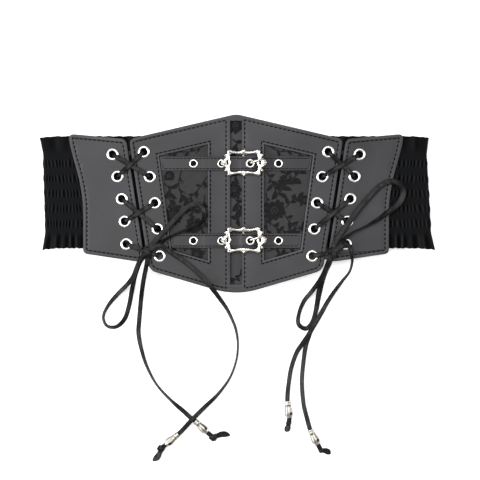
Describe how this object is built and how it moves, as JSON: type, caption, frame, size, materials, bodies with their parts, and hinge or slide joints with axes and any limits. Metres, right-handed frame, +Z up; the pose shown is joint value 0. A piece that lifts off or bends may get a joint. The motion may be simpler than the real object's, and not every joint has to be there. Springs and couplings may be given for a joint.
{
  "type": "corset belt",
  "caption": "Black faux leather corset belt with lace windows, shirred elastic, laced eyelets, buckled straps and bow laces with silver beads.",
  "frame": {"origin": "on the surface it lies on, under the middle of the belt without its free laces", "axes": "+X across the belt to the right of its front, +Y up the belt's height, +Z up from the surface"},
  "size_m": [0.374, 0.3345, 0.0319],
  "materials": {
    "leather": "charcoal faux leather with a soft sheen",
    "lace": "black floral lace over charcoal satin",
    "elastic": "near black shirred elastic",
    "strap": "charcoal faux leather with edge stitching",
    "silver": "polished silver-coloured metal",
    "lacing": "flat black faux leather lace"
  },
  "bodies": {
    "root": {"front_panel": "leather", "side_panel_right": "leather", "side_panel_left": "leather", "back_closure": "leather", "lace_lining": "lace", "elastic_right": "elastic", "elastic_left": "elastic", "strap_upper": "strap", "strap_lower": "strap", "buckle_upper": "silver", "buckle_lower": "silver", "prong_upper": "silver", "prong_lower": "silver", "eyelet_left_front_1": "silver", "eyelet_left_front_2": "silver", "eyelet_left_front_3": "silver", "eyelet_left_front_4": "silver", "eyelet_left_front_5": "silver", "eyelet_left_side_1": "silver", "eyelet_left_side_2": "silver", "eyelet_left_side_3": "silver", "eyelet_left_side_4": "silver", "eyelet_left_side_5": "silver", "eyelet_right_front_1": "silver", "eyelet_right_front_2": "silver", "eyelet_right_front_3": "silver", "eyelet_right_front_4": "silver", "eyelet_right_front_5": "silver", "eyelet_right_side_1": "silver", "eyelet_right_side_2": "silver", "eyelet_right_side_3": "silver", "eyelet_right_side_4": "silver", "eyelet_right_side_5": "silver", "strap_eyelet_upper_1": "silver", "strap_eyelet_upper_2": "silver", "strap_eyelet_upper_3": "silver", "strap_eyelet_upper_4": "silver", "strap_eyelet_lower_1": "silver", "strap_eyelet_lower_2": "silver", "strap_eyelet_lower_3": "silver", "strap_eyelet_lower_4": "silver", "left_bead_inner": "silver", "left_bead_outer": "silver", "right_bead_inner": "silver", "right_bead_outer": "silver", "lacing_left": "lacing", "lacing_right": "lacing", "left_loop_up": "lacing", "left_loop_down": "lacing", "right_loop_up": "lacing", "right_loop_down": "lacing", "left_tail_inner": "lacing", "left_tail_outer": "lacing", "right_tail_inner": "lacing", "right_tail_outer": "lacing", "left_end_knot_inner": "lacing", "left_end_knot_outer": "lacing", "right_end_knot_inner": "lacing", "right_end_knot_outer": "lacing"}
  },
  "joints": []
}
